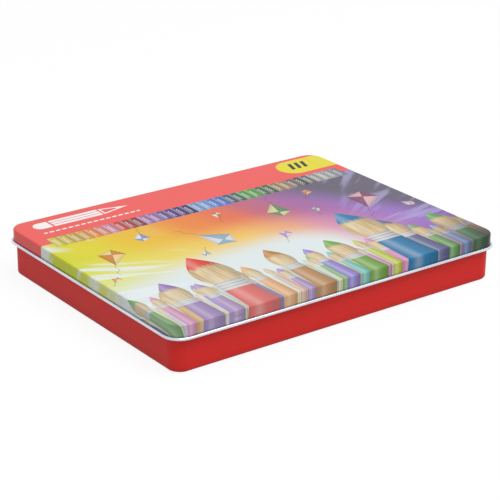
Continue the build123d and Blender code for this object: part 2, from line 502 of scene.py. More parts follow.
def make_cedar_group():
    """Sharpened wood: fine long fibres over the broad light and dark of its growth."""
    group = Group(
        "Cedar",
        numbers("Local X", "Local Z", "Along"),
        {"Colour": "colour", **numbers("Height")},
    )
    tree = group.tree
    x = group.number("Local X")
    z = group.number("Local Z")
    along = group.number("Along")
    fibres = speckle(tree, joined(tree, x * 3.0, along * 0.16, z * 3.0), 1.0, detail=4.0)
    rings = speckle(tree, joined(tree, x * 0.7, along * 0.03, z * 0.7), 1.0, detail=1.0)
    colour = ramp(
        fibres * 0.6 + rings * 0.4,
        [
            (0.3, linear(182, 134, 88)),
            (0.5, linear(214, 170, 122)),
            (0.72, linear(232, 196, 152)),
        ],
    )
    group.give("Colour", colour)
    group.give("Height", fibres)


def make_formed_plastic_group():
    """Formed plastic sheet: a fine leathery grain and a slight cloudiness."""
    group = Group(
        "Formed Plastic",
        {"Colour": "colour"},
        {"Colour": "colour", **numbers("Roughness", "Height")},
    )
    tree = group.tree
    x, y, z = place_in_mm(tree)
    here = joined(tree, x, y, z)
    grain = speckle(tree, here, 1.8, detail=3.0)
    clouds = speckle(tree, here, 0.03, detail=2.0)
    tone = 0.86 + grain * 0.12 + clouds * 0.16
    group.give("Colour", toned(tree, group.entry.outputs["Colour"], tone))
    group.give("Roughness", 0.36 + grain * 0.14)
    group.give("Height", grain)


def make_foam_group():
    """White foam sheet: closed cells of about a millimetre."""
    group = Group("Foam Sheet", {}, {"Colour": "colour", **numbers("Roughness", "Height")})
    tree = group.tree
    x, y, z = place_in_mm(tree)
    here = joined(tree, x, y, z)
    cells = tree.nodes.new("ShaderNodeTexVoronoi")
    cells.feature = "F1"
    tree.links.new(here, cells.inputs["Vector"])
    cells.inputs["Scale"].default_value = 0.9
    bubble = Field(tree, cells.outputs["Distance"])
    clouds = speckle(tree, here, 0.02, detail=2.0)
    colour = ramp(
        bubble * 0.7 + clouds * 0.3,
        [(0.1, linear(244, 244, 240)), (0.55, linear(232, 232, 228)), (0.9, linear(208, 208, 205))],
    )
    group.give("Colour", colour)
    group.give("Roughness", 0.72 + bubble * 0.15)
    group.give("Height", inverse(bubble))


# ---------------------------------------------------------------- the lid's picture

SKY = (
    (0.00, ink(202, 214, 66)),
    (0.15, ink(222, 210, 66)),
    (0.30, ink(232, 188, 72)),
    (0.46, ink(232, 140, 82)),
    (0.56, ink(226, 122, 92)),
    (0.66, ink(192, 112, 132)),
    (0.76, ink(170, 114, 166)),
    (0.88, ink(160, 124, 196)),
    (1.00, ink(138, 106, 182)),
)
GLOW = (
    (0.00, ink(222, 224, 120)),
    (0.46, ink(238, 208, 116)),
    (0.58, ink(234, 182, 136)),
    (0.70, ink(220, 160, 188)),
    (1.00, ink(188, 158, 214)),
)
NIGHT = ink(112, 106, 122)
DAYLIGHT = ink(220, 230, 232)
WISP_LEFT = ink(226, 234, 238)
WISP_RIGHT = ink(190, 182, 226)
SKY_SLANT = 0.28  # how far the rainbow leans to the right towards the back edge
SKY_PIVOT = 130.0  # how far down it leans neither way
NIGHT_SLANT = 0.8
GLOW_DOWN = 168.0  # the middle of the bright part, halfway along the lid
GLOW_LEFT = 4.2  # how many times as far it reaches to the left as towards the back
GLOW_RIGHT = 1.2

# The inks that the row of swatches runs through, from its left end to its right
SWATCH_RANGE = (
    (0.00, ink(216, 212, 64)),
    (0.08, ink(216, 182, 82)),
    (0.14, ink(228, 134, 64)),
    (0.18, ink(222, 150, 182)),
    (0.22, ink(204, 76, 70)),
    (0.28, ink(142, 66, 76)),
    (0.31, ink(182, 138, 198)),
    (0.38, ink(92, 70, 146)),
    (0.45, ink(58, 60, 116)),
    (0.48, ink(136, 178, 230)),
    (0.55, ink(76, 120, 208)),
    (0.60, ink(48, 100, 112)),
    (0.66, ink(92, 172, 72)),
    (0.72, ink(62, 108, 78)),
    (0.78, ink(186, 146, 110)),
    (0.84, ink(88, 86, 92)),
    (0.93, ink(172, 172, 170)),
    (1.00, ink(124, 138, 156)),
)

FAR_BRUSHES = inks(
    (206, 214, 170), (226, 196, 150), (196, 170, 190), (176, 206, 200),
    (214, 206, 140), (190, 184, 214), (222, 176, 160),
)
MIDDLE_BRUSHES = inks(
    (126, 196, 186), (214, 142, 184), (198, 206, 96), (150, 136, 208), (118, 190, 206),
    (230, 170, 110), (150, 176, 226), (172, 138, 188), (206, 160, 92), (128, 176, 110),
)
NEAR_BRUSHES = inks(
    (104, 166, 100), (158, 126, 184), (124, 132, 206),
    (190, 136, 72), (126, 170, 80), (118, 120, 156),
)
LARGE_BRUSHES = inks((222, 84, 74), (70, 132, 176))

BRISTLES = ink(230, 210, 166)
BRISTLE_DARK = ink(178, 142, 96)
COLLAR = ink(206, 206, 208)
SHADOW = ink(66, 58, 74)
GLINT = ink(238, 238, 232)
DUSK = ink(66, 56, 78)

BANNER_END = 46.9
SIGN_START = -119.0
SIGN_COLLAR = -111.0
SIGN_CONE = -70.0
SIGN_LEAD = -56.0
SIGN_END = -46.0
SIGN_DOWN = 14.0
SIGN_HALF_WIDTH = 5.6
SIGN_GAP = 1.4  # between the barrel and its cone
SIGN_LINE = 1.5  # the cone's outline
RULE_TOP = 26.6
RULE_FOOT = 28.4
RULE_END = -44.0
DASH_PITCH = 5.2
DASH_SHARE = 0.7
PAPER_WHITE = ink(244, 240, 240)
SWATCH_PITCH = 7.36
SWATCH_COUNT = 35
SWATCH_START = -128.4
SWATCH_TOP = 37.7
SWATCH_END = 54.8
SWATCH_GAP = ink(60, 50, 56)
SWATCH_WAVE = 2.6  # radians to a millimetre
TAB_START = 90.5
TAB_TOP = 4.6
TAB_END = 32.0
TAB_LINE = 124.0
TAB_RIM = 0.7
TAB_EDGE = ink(238, 150, 60)
TAB_CREASE = ink(190, 160, 50)
BARS_START = 101.0
BARS_DOWN = 16.5
BAR_PITCH = 6.0
BAR_COUNT = 3.0
BAR_HALF_HEIGHT = 6.0
BAR_HALF_SHARE = 0.27  # half a bar's width, as a share of the pitch
BAR_SLANT = 0.3
BAR_INK = ink(74, 66, 58)


def box_mask(across, down, left, right, top, end):
    """1 inside a rectangle of the print."""
    return (across > left) * (across < right) * (down > top) * (down < end)


def turned(across, down, middle_across, middle_down, angle):
    """Coordinates round a point of the print, turned by an angle in degrees."""
    node = across.tree.nodes.new("ShaderNodeMapping")
    node.vector_type = "TEXTURE"
    node.inputs["Location"].default_value = (middle_across, middle_down, 0.0)
    node.inputs["Rotation"].default_value = (0.0, 0.0, radians(angle))
    across.tree.links.new(joined(across.tree, across, down, 0.0), node.inputs["Vector"])
    return split(across.tree, node.outputs[0])[:2]


def paint_sky(tree, across, down):
    """A rainbow of sky from left to right, dark at the far right corner and bright over the
    front's middle, with wisps of cloud that run towards the bright part."""
    from_left = across + LID_LENGTH / 2
    sky = ramp((from_left + (SKY_PIVOT - down) * SKY_SLANT) / LID_LENGTH, SKY)
    night = fade(across - down * NIGHT_SLANT, -10.0, 42.0)
    sky = mixed(tree, night, sky, NIGHT)
    from_middle = abs(across) / chosen(across > 0.0, GLOW_LEFT, GLOW_RIGHT)
    from_front = GLOW_DOWN - down
    distance = length(from_middle, from_front)
    glow = ramp(from_left / LID_LENGTH, GLOW)
    sky = mixed(tree, fade(distance, 92.0, 50.0) * 0.85, sky, glow)
    sky = mixed(tree, fade(distance, 58.0, 28.0) * 0.97, sky, DAYLIGHT)
    bearing = maths(tree, "ARCTAN2", from_front, across)
    reach = length(across, from_front)
    streaks = speckle(tree, joined(tree, bearing * 12.0, reach * 0.012, 6.0), 1.0, detail=4.0)
    wisps = fade(streaks, 0.50, 0.64)
    sky = mixed(tree, wisps * fade(across, -45.0, -112.0) * 0.85, sky, WISP_LEFT)
    return mixed(tree, wisps * fade(across, 60.0, 120.0) * 0.5, sky, WISP_RIGHT)


class Kite(NamedTuple):
    """A kite in the sky. Lengths are in millimetres and the turn in degrees."""

    across: float
    down: float
    half_length: float
    half_width: float
    turn: float
    dark: tuple
    light: tuple


KITES = (
    Kite(-108, 92, 14, 10, 24, ink(206, 128, 74), ink(232, 208, 150)),
    Kite(-72, 72, 8, 6, 200, ink(120, 150, 214), ink(222, 228, 232)),
    Kite(-30, 104, 15, 11, 148, ink(132, 176, 206), ink(206, 220, 230)),
    Kite(-4, 68, 6, 4.4, 20, ink(226, 232, 232), ink(206, 120, 90)),
    Kite(14, 126, 7, 5, 30, ink(176, 150, 206), ink(224, 206, 226)),
    Kite(38, 84, 13, 9.5, 196, ink(96, 150, 112), ink(214, 216, 160)),
    Kite(78, 68, 6, 4.4, 40, ink(214, 130, 90), ink(230, 190, 150)),
    Kite(104, 104, 17, 12, 28, ink(140, 90, 116), ink(220, 180, 184)),
    Kite(126, 128, 6, 4.4, 150, ink(200, 190, 226), ink(232, 214, 180)),
    Kite(-127, 126, 5, 3.6, 40, ink(226, 150, 110), ink(230, 222, 200)),
    Kite(-52, 122, 5, 3.6, 210, ink(150, 176, 206), ink(232, 232, 220)),
    Kite(62, 100, 5, 3.6, 20, ink(110, 170, 160), ink(232, 214, 220)),
)
KITE_LINE = ink(96, 74, 66)
KITE_NOSE = 0.65  # from the short spar to the nose, in half lengths of the kite
KITE_TAIL = 2.2  # where the tail ends, in half lengths from the middle
HALF_SPAR = 0.3
HALF_TAIL = 0.32


def paint_kites(tree, across, down, under):
    """Plain kites of four panels, each with its two spars and a waving tail."""
    for kite in KITES:
        half = kite.half_length
        beside, along = turned(across, down, kite.across, kite.down, kite.turn)
        cross = along + half * (1.0 - KITE_NOSE)  # from the short spar, towards the tail
        nose = cross / (half * -KITE_NOSE)
        foot = cross / (half * (2.0 - KITE_NOSE))
        shape = most(nose, foot) + abs(beside) / kite.half_width
        panel = beside * cross > 0.0
        cloth = mixed(tree, panel, kite.dark, kite.light)
        cloth = mixed(tree, fade(shape, 0.6, 1.0) * 0.25, cloth, KITE_LINE)
        spars = most(abs(beside) < HALF_SPAR, abs(cross) < HALF_SPAR)
        cloth = mixed(tree, spars * 0.5, cloth, KITE_LINE)
        wave = sine(along * (9.0 / half)) * (half * 0.09)
        tail = (abs(beside - wave) < HALF_TAIL) * (along > half) * (along < half * KITE_TAIL)
        under = mixed(tree, tail * 0.5, under, KITE_LINE)
        under = mixed(tree, (shape < 1.0) * 0.9, under, cloth)
    return under


class BrushLayer(NamedTuple):
    """A row of upright paint brushes along the front edge. Lengths are in millimetres."""

    pitch: float  # from one brush to the next
    shift: float  # how far the row is moved to the left
    sway: float  # how far a brush may stand out of step
    width: float
    head: float  # the hairs' length
    tip: float  # how far down the highest tips are
    spread: float  # how much lower the others may be
    seed: float
    haze: float  # how much of what is behind shows through
    inks: tuple


# A brush's parts, in widths of the brush
COLLAR_LENGTH = 0.42
RING_PITCH = 0.14
HANDLE_SWELL = 2.0  # from the collar to where the handle is widest


def paint_brushes(tree, across, down, under, layer):
    """One row of brushes: a full head of hairs dipped in paint, a ringed collar and a round
    handle that runs on over the edge."""
    place = (across + layer.shift) / layer.pitch
    number = whole(place)
    middle = (scatter(number, layer.seed) - 0.5) * layer.sway
    local = (fraction(place) - 0.5) * layer.pitch + middle
    below_tip = down - layer.tip - scatter(number, layer.seed + 4.0) * layer.spread
    down_head = most(below_tip / layer.head, 0.0)
    collar_end = layer.head + layer.width * COLLAR_LENGTH
    widest = collar_end + layer.width * HANDLE_SWELL
    swell = 0.76 + fade(below_tip, collar_end, widest) * 0.2
    belly = sine(least(down_head, 1.0) * 2.3)
    outline = chosen(down_head > 1.0, belly, swell)
    mask = abs(local) < outline * (layer.width / 2)

    side = local / layer.width
    hairs = speckle(tree, joined(tree, side * 16.0, down * 0.03, layer.seed), 1.0, detail=4.0)
    paint = palette(number, layer.inks)
    colour = mixed(tree, fade(hairs, 0.35, 0.68) * 0.7, BRISTLES, BRISTLE_DARK)
    dipped = fade(down_head + hairs * 0.5, 0.72, 0.6)
    colour = mixed(tree, dipped, colour, paint)
    rings = fraction((below_tip - layer.head) / (layer.width * RING_PITCH)) < 0.3
    metal = mixed(tree, rings * 0.4, COLLAR, SHADOW)
    colour = mixed(tree, down_head > 1.0, colour, metal)
    grained = mixed(tree, fade(hairs, 0.3, 0.7) * 0.12, paint, SHADOW)
    colour = mixed(tree, below_tip > collar_end, colour, grained)
    lit = mixed(tree, fade(abs(side + 0.14), 0.22, 0.0) * 0.2, colour, GLINT)
    shaded = mixed(tree, fade(side, 0.0, 0.5) * 0.4, lit, SHADOW)
    shaded = mixed(tree, fade(side, -0.26, -0.5) * 0.2, shaded, SHADOW)
    return mixed(tree, mask * (1.0 - layer.haze), under, shaded)


BRUSH_LAYERS = (
    # pitch, shift, sway, width, head, tip, spread, seed, haze and inks, the far row first
    BrushLayer(4.7, 140, 1.2, 3.8, 9, 167, 12, 1, 0.35, FAR_BRUSHES),
    BrushLayer(9.3, 143, 3, 5.4, 12, 165, 11, 7, 0.15, FAR_BRUSHES[::-1] + MIDDLE_BRUSHES[:4]),
    BrushLayer(15.5, 146, 6, 8, 16, 158, 13, 2, 0.0, MIDDLE_BRUSHES),
    BrushLayer(24, 151, 9, 11.5, 21, 152, 13, 5, 0.0, MIDDLE_BRUSHES[::-1]),
    BrushLayer(47, 182, 15, 18, 31, 139, 12, 3, 0.0, NEAR_BRUSHES),
    BrushLayer(136, 136, 0, 30, 48, 112, 9, 6, 0.0, LARGE_BRUSHES),
)


def paint_front(tree, across, down, under):
    """The brushes at the front edge, from the far row to the near one, with some mist over
    them at the left and dusk at the right corner."""
    for layer in BRUSH_LAYERS:
        under = paint_brushes(tree, across, down, under, layer)
    mist = fade(across, 70.0, -60.0) * fade(down, 150.0, 172.0)
    under = mixed(tree, mist * 0.14, under, DAYLIGHT)
    dusk = fade(across, 78.0, 136.0) * fade(down, 150.0, 212.0)
    return mixed(tree, dusk * 0.85, under, DUSK)


def paint_banner(tree, across, down, under, banner_red):
    """The plain band along the back, with a white pencil sign and a rule under it."""
    colour = mixed(tree, down < BANNER_END, under, banner_red)
    beside = abs(down - SIGN_DOWN)
    rounded = length(least(across - SIGN_START, 0.0), beside)
    body = (rounded < SIGN_HALF_WIDTH) * (across < SIGN_CONE)
    grooves = (abs(beside - SIGN_HALF_WIDTH * 0.36) < 0.45) * (across > SIGN_COLLAR)
    collar = abs(across - SIGN_COLLAR) < 0.8
    taper = (SIGN_END - across) * (SIGN_HALF_WIDTH / (SIGN_END - SIGN_CONE))
    cone = (across > SIGN_CONE + SIGN_GAP) * (beside < taper)
    hollow = (across > SIGN_CONE + SIGN_GAP * 2) * (across < SIGN_LEAD)
    hollow = hollow * (beside < taper - SIGN_LINE)
    mark = most(body * inverse(most(grooves, collar)), cone * inverse(hollow))
    dashes = fraction(across / DASH_PITCH) < DASH_SHARE
    rule = box_mask(across, down, SIGN_START - 5.0, RULE_END, RULE_TOP, RULE_FOOT) * dashes
    return mixed(tree, most(mark, rule), colour, PAPER_WHITE)


def paint_tab(tree, across, down, under, tab_yellow):
    """The yellow tab at the right, round at its left end, with three slanted bars."""
    radius = (TAB_END - TAB_TOP) / 2
    beside = down - (TAB_END + TAB_TOP) / 2
    distance = length(least(across - (TAB_START + radius), 0.0), beside)
    inside = distance < radius
    edge = inside * (distance > radius - TAB_RIM)
    colour = mixed(tree, edge * 0.35, tab_yellow, TAB_EDGE)
    colour = mixed(tree, (abs(across - TAB_LINE) < TAB_RIM / 2) * 0.5, colour, TAB_CREASE)
    beside_bars = down - BARS_DOWN
    step = (across + beside_bars * BAR_SLANT - BARS_START) / BAR_PITCH
    row = (step > 0.0) * (step < BAR_COUNT) * (abs(beside_bars) < BAR_HALF_HEIGHT)
    bars = row * (abs(fraction(step) - 0.5) < BAR_HALF_SHARE)
    colour = mixed(tree, bars, colour, BAR_INK)
    return mixed(tree, inside, under, colour)


def paint_swatches(tree, across, down, under):
    """The row of colour swatches over the banner's edge, each with a pale wavy mark."""
    place = (across - SWATCH_START) / SWATCH_PITCH
    local = fraction(place) - 0.5
    mask = box_mask(place, down, 0.0, SWATCH_COUNT, SWATCH_TOP, SWATCH_END)
    number = whole(place)
    colour = ramp((number + 0.5) / SWATCH_COUNT, SWATCH_RANGE)
    colour = mixed(tree, scatter(number, 2.0) * 0.22, colour, SWATCH_GAP)
    colour = mixed(tree, fade(local, 0.0, -0.3) * 0.22, colour, PAPER_WHITE)
    colour = mixed(tree, fade(abs(local), 0.36, 0.5) * 0.55, colour, SWATCH_GAP)
    wave = sine(down * SWATCH_WAVE) * 0.09
    line = (abs(local - wave) < 0.075) * (down > SWATCH_TOP + 3.5) * (down < SWATCH_END - 3.0)
    colour = mixed(tree, line * 0.65, colour, PAPER_WHITE)
    return mixed(tree, mask, under, colour)


def make_lid_print_group():
    """The whole print of the lid, as one colour over the unrolled sheet."""
    group = Group(
        "Lid Print",
        {**numbers("Across", "Down"), "Banner": "colour", "Tab": "colour"},
        {"Colour": "colour"},
    )
    tree = group.tree
    across = group.number("Across")
    down = group.number("Down")
    colour = paint_sky(tree, across, down)
    colour = paint_kites(tree, across, down, colour)
    colour = paint_front(tree, across, down, colour)
    colour = paint_banner(tree, across, down, colour, group.entry.outputs["Banner"])
    colour = paint_tab(tree, across, down, colour, group.entry.outputs["Tab"])
    colour = paint_swatches(tree, across, down, colour)
    group.give("Colour", colour)


# ---------------------------------------------------------------- settings


class PrintSettings(bpy.types.PropertyGroup):
    banner: bpy.props.FloatVectorProperty(
        name="Banner",
        description="Ink of the band along the back of the lid",
        subtype="COLOR",
        min=0.0,
        max=1.0,
        default=ink(237, 105, 102),
    )
    tab: bpy.props.FloatVectorProperty(
        name="Tab",
        description="Ink of the tab at the right of the band",
        subtype="COLOR",
        min=0.0,
        max=1.0,
        default=ink(228, 218, 72),
    )
    base: bpy.props.FloatVectorProperty(
        name="Base",
        description="Ink of the outside of the base",
        subtype="COLOR",
        min=0.0,
        max=1.0,
        default=(0.65, 0.016, 0.012),
    )
    peel: bpy.props.FloatProperty(
        name="Orange peel",
        description="Depth of the varnish's fine unevenness",
        subtype="DISTANCE",
        unit="LENGTH",
        min=0.0,
        max=0.0002,
        default=0.000012,
        precision=6,
    )
    coat: bpy.props.FloatProperty(
        name="Varnish on the lid",
        description="How much of the varnish's gloss shows on the lid",
        subtype="FACTOR",
        min=0.0,
        max=1.0,
        default=0.5,
    )
    base_coat: bpy.props.FloatProperty(
        name="Varnish on the base",
        description="How much of the varnish's gloss shows on the base",
        subtype="FACTOR",
        min=0.0,
        max=1.0,
        default=0.35,
    )


class PadSettings(bpy.types.PropertyGroup):
    cell: bpy.props.FloatProperty(
        name="Mesh cell",
        description="Side of the mesh cells of the foam pad",
        subtype="DISTANCE",
        unit="LENGTH",
        min=0.002,
        max=0.02,
        default=0.005,
    )
    corner: bpy.props.FloatProperty(
        name="Corner radius",
        description="Radius of the pad's cut corners",
        subtype="DISTANCE",
        unit="LENGTH",
        min=0.001,
        max=0.01,
        default=0.003,
    )
    edge: bpy.props.FloatProperty(
        name="Soft edge",
        description="Radius of the pad's lower edge",
        subtype="DISTANCE",
        unit="LENGTH",
        min=0.0002,
        max=0.0019,
        default=0.0012,
    )
    unevenness: bpy.props.FloatProperty(
        name="Unevenness",
        description="How far the pad's lower face swells and sinks",
        subtype="DISTANCE",
        unit="LENGTH",
        min=0.0,
        max=0.001,
        default=0.0003,
    )


class StageSettings(bpy.types.PropertyGroup):
    camera: bpy.props.FloatVectorProperty(
        name="Camera",
        description="Where the camera stands",
        subtype="TRANSLATION",
        unit="LENGTH",
        default=(-0.68488, -0.91030, 0.48688),
    )
    lens: bpy.props.FloatProperty(
        name="Lens",
        description="Focal length, on a sensor 36 mm wide",
        subtype="DISTANCE_CAMERA",
        unit="CAMERA",
        min=20.0,
        max=300.0,
        default=124.845,
    )
    softbox: bpy.props.FloatProperty(
        name="Softbox",
        description="Power of the large lamp over the front",
        subtype="POWER",
        unit="POWER",
        min=0.0,
        max=200.0,
        default=30.0,
    )
    ambient: bpy.props.FloatProperty(
        name="Ambient",
        description="Strength of the light from all round",
        min=0.0,
        max=2.0,
        default=0.68,
    )


PAPER = (0.9, 0.9, 0.9)  # the floor, as it is seen
PAPER_GLOW = 0.9  # how much of its own white a seen floor shows, which leaves a weak shadow
BOUNCE = (0.54, 0.54, 0.54)  # the floor, for the light that it sends up
FLOOR_HALF_SIDE = 8.0
FLOOR_Z = -0.0002  # just under the tin, so that no two faces lie in one plane
SOFTBOX_WIDTH = 1.8
SOFTBOX_DEPTH = 1.4
SOFTBOX_PLACE = Vector((0.25, -0.85, 1.9))
FOAM_SWELLS = 55.0  # swells of the pad's lower face to a metre

# The camera's own axes, fitted to the photograph: its right, its up and its back
CAMERA_RIGHT = Vector((0.80247057, -0.59659264, 0.01087205))
CAMERA_UP = Vector((0.21869684, 0.31102180, 0.92489844))
CAMERA_BACK = Vector((-0.55516905, -0.73982610, 0.38005877))


# ---------------------------------------------------------------- operators


class PENCILTIN_OT_shared_finishes(bpy.types.Operator):
    """Make the node groups that the finishes share"""

    bl_idname = "penciltin.shared_finishes"
    bl_label = "Shared Finishes"

    def execute(self, context):
        make_drawn_sheet_group()
        make_varnish_group()
        make_tinplate_group()
        make_pencil_group()
        make_cedar_group()
        make_formed_plastic_group()
        make_foam_group()
        make_lid_print_group()
        return {"FINISHED"}


def finish_printed_sheet(tree, shader, outside, colour, coat, peel):
    """Join a print and bare tinplate into one finish."""
    varnish = use_group(tree, "Varnish")
    tinplate = use_group(tree, "Tinplate")
    printed = toned(tree, colour, varnish["Tone"])
    feed(tree, mixed(tree, outside, tinplate["Colour"], printed), shader.inputs["Base Color"])
    feed(tree, inverse(outside), shader.inputs["Metallic"])
    printed_roughness = Field(tree, varnish["Roughness"]) + INK_ROUGHNESS
    bare_roughness = Field(tree, tinplate["Roughness"])
    roughness = chosen(outside, bare_roughness, printed_roughness)
    feed(tree, roughness, shader.inputs["Roughness"])
    feed(tree, outside * coat, shader.inputs["Coat Weight"])
    shader.inputs["Coat Roughness"].default_value = 0.09
    shader.inputs["Specular IOR Level"].default_value = 0.0
    height = chosen(outside, Field(tree, tinplate["Height"]), Field(tree, varnish["Height"]))
    set_bump(tree, shader, height, peel)


class PENCILTIN_OT_print_lid(bpy.types.Operator):
    """Print the lid's outside and leave its inside and its bead bare"""

    bl_idname = "penciltin.print_lid"
    bl_label = "Print Lid"

    def execute(self, context):
        settings = context.scene.penciltin_print
        material, tree, shader = new_material("Lid Print")
        sheet = use_group(
            tree,
            "Drawn Sheet",
            Half_Length=LID_LENGTH / 2,
            Half_Width=LID_WIDTH / 2,
            Corner_Radius=LID_CORNER_RADIUS,
            Bend=LID_BEND,
            Face_Height=LID_TOP,
            Face_Side=1.0,
        )
        picture = use_group(
            tree,
            "Lid Print",
            Across=sheet["Across"],
            Down=sheet["Down"],
            Banner=settings.banner,
            Tab=settings.tab,
        )
        # Painted shade: the print darkens in a thin line just above the bead, where the crease lies
        # in shadow
        crease_shade = fade(Field(tree, sheet["Drop"]), CREASE_DROP - 1.0, CREASE_DROP)
        colour = mixed(tree, crease_shade * CREASE_SHADE_SHARE, picture["Colour"], CREASE_SHADE)
        outside = Field(tree, sheet["Outside"])
        finish_printed_sheet(tree, shader, outside, colour, settings.coat, settings.peel / MM)
        dress(["lid_shell"], material)
        return {"FINISHED"}


class PENCILTIN_OT_print_base(bpy.types.Operator):
    """Print the base's outside red and leave its inside and its rim bare"""

    bl_idname = "penciltin.print_base"
    bl_label = "Print Base"

    def execute(self, context):
        settings = context.scene.penciltin_print
        material, tree, shader = new_material("Base Print")
        sheet = use_group(
            tree,
            "Drawn Sheet",
            Half_Length=BASE_LENGTH / 2,
            Half_Width=BASE_WIDTH / 2,
            Corner_Radius=BASE_CORNER_RADIUS,
            Bend=BASE_BEND,
            Face_Height=0.0,
            Face_Side=-1.0,
        )
        outside = Field(tree, sheet["Outside"])
        # Painted shade: the red is made darker towards the bottom of the base, where it meets the
        # floor
        foot = fade(Field(tree, sheet["Drop"]), FOOT_SHADE_HEIGHT, 1.0)
        colour = mixed(tree, foot * FOOT_SHADE_SHARE, tuple(settings.base), FOOT_SHADE)
        peel = settings.peel / MM
        finish_printed_sheet(tree, shader, outside, colour, settings.base_coat, peel)
        dress(["base_shell"], material)
        return {"FINISHED"}


class PENCILTIN_OT_finish_pins(bpy.types.Operator):
    """Give the hinge pins their drawn steel"""

    bl_idname = "penciltin.finish_pins"
    bl_label = "Finish Hinge Pins"

    def execute(self, context):
        material, tree, shader = new_material("Drawn Wire")
        tinplate = use_group(tree, "Tinplate")
        darker = mixed(tree, 0.75, tinplate["Colour"], record_colour("bare_wire"), "MULTIPLY")
        feed(tree, darker, shader.inputs["Base Color"])
        feed(tree, tinplate["Roughness"], shader.inputs["Roughness"])
        shader.inputs["Metallic"].default_value = 1.0
        set_bump(tree, shader, tinplate["Height"], 0.05)
        dress(["hinge_pin_left", "hinge_pin_right"], material)
        return {"FINISHED"}


class PENCILTIN_OT_make_pad(bpy.types.Operator):
    """Make the foam pad that is glued under the lid"""

    bl_idname = "penciltin.make_pad"
    bl_label = "Make Foam Pad"

    def execute(self, context):
        settings = context.scene.penciltin_pad
        low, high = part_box("foam_pad")
        size = high - low
        mesh = bmesh.new()
        bmesh.ops.create_grid(
            mesh,
            x_segments=round(size.x / settings.cell),
            y_segments=round(size.y / settings.cell),
            size=0.5,
            matrix=Matrix.Translation(((low.x + high.x) / 2, (low.y + high.y) / 2, low.z))
            @ Matrix.Diagonal((size.x, size.y, 1.0, 1.0)),
        )
        self.round_corners(mesh, size, settings.corner)
        self.swell(mesh, low, settings.unevenness)
        lower = list(mesh.faces)
        raised = bmesh.ops.extrude_face_region(mesh, geom=lower, use_keep_orig=True)
        top = [item for item in raised["geom"] if isinstance(item, bmesh.types.BMVert)]
        for vertex in top:
            vertex.co.z = high.z
        bmesh.ops.recalc_face_normals(mesh, faces=mesh.faces)
        rim = [
            edge
            for edge in mesh.edges
            if {abs(face.normal.z) > 0.5 for face in edge.link_faces} == {True, False}
            and all(vertex.co.z < (low.z + high.z) / 2 for vertex in edge.verts)
        ]
        bmesh.ops.bevel(
            mesh,
            geom=rim,
            offset=settings.edge,
            offset_type="OFFSET",
            affect="EDGES",
            segments=4,
            profile=0.5,
            material=-1,
            clamp_overlap=True,
        )
        bmesh.ops.recalc_face_normals(mesh, faces=mesh.faces)
        for face in mesh.faces:
            face.smooth = True
        data = bpy.data.meshes.new("pad")
        mesh.to_mesh(data)
        mesh.free()
        pad = bpy.data.objects.new("pad_foam_sheet", data)
        context.scene.collection.objects.link(pad)
        data.materials.append(self.foam())
        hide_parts("foam_pad")
        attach(pad, "lid")
        return {"FINISHED"}

    @staticmethod
    def round_corners(mesh, size, radius):
        """Draw the grid's corners in to a radius."""
        for vertex in mesh.verts:
            core_x = size.x / 2 - radius
            core_y = size.y / 2 - radius
            past = Vector((abs(vertex.co.x) - core_x, abs(vertex.co.y) - core_y))
            if min(past) > 0 and past.length > radius:
                past *= radius / past.length
                vertex.co.x = (core_x + past.x) * (1 if vertex.co.x > 0 else -1)
                vertex.co.y = (core_y + past.y) * (1 if vertex.co.y > 0 else -1)

    @staticmethod
    def swell(mesh, low, height):
        """Raise the lower face a little here and there, as foam lies."""
        for vertex in mesh.verts:
            wave = noise.noise(vertex.co * FOAM_SWELLS) * 0.5 + 0.5
            vertex.co.z = low.z + wave * height

    @staticmethod
    def foam():
        material, tree, shader = new_material("Foam Sheet")
        apply_finish(tree, shader, use_group(tree, "Foam Sheet"), 0.12)
        return material


class PENCILTIN_OT_finish_trays(bpy.types.Operator):
    """Give both trays their formed plastic"""

    bl_idname = "penciltin.finish_trays"
    bl_label = "Finish Trays"

    def execute(self, context):
        material, tree, shader = new_material("Tray Plastic")
        plastic = use_group(tree, "Formed Plastic", Colour=record_colour("tray_plastic"))
        apply_finish(tree, shader, plastic, 0.03)
        dress(["upper_tray", "lower_tray"], material)
        return {"FINISHED"}


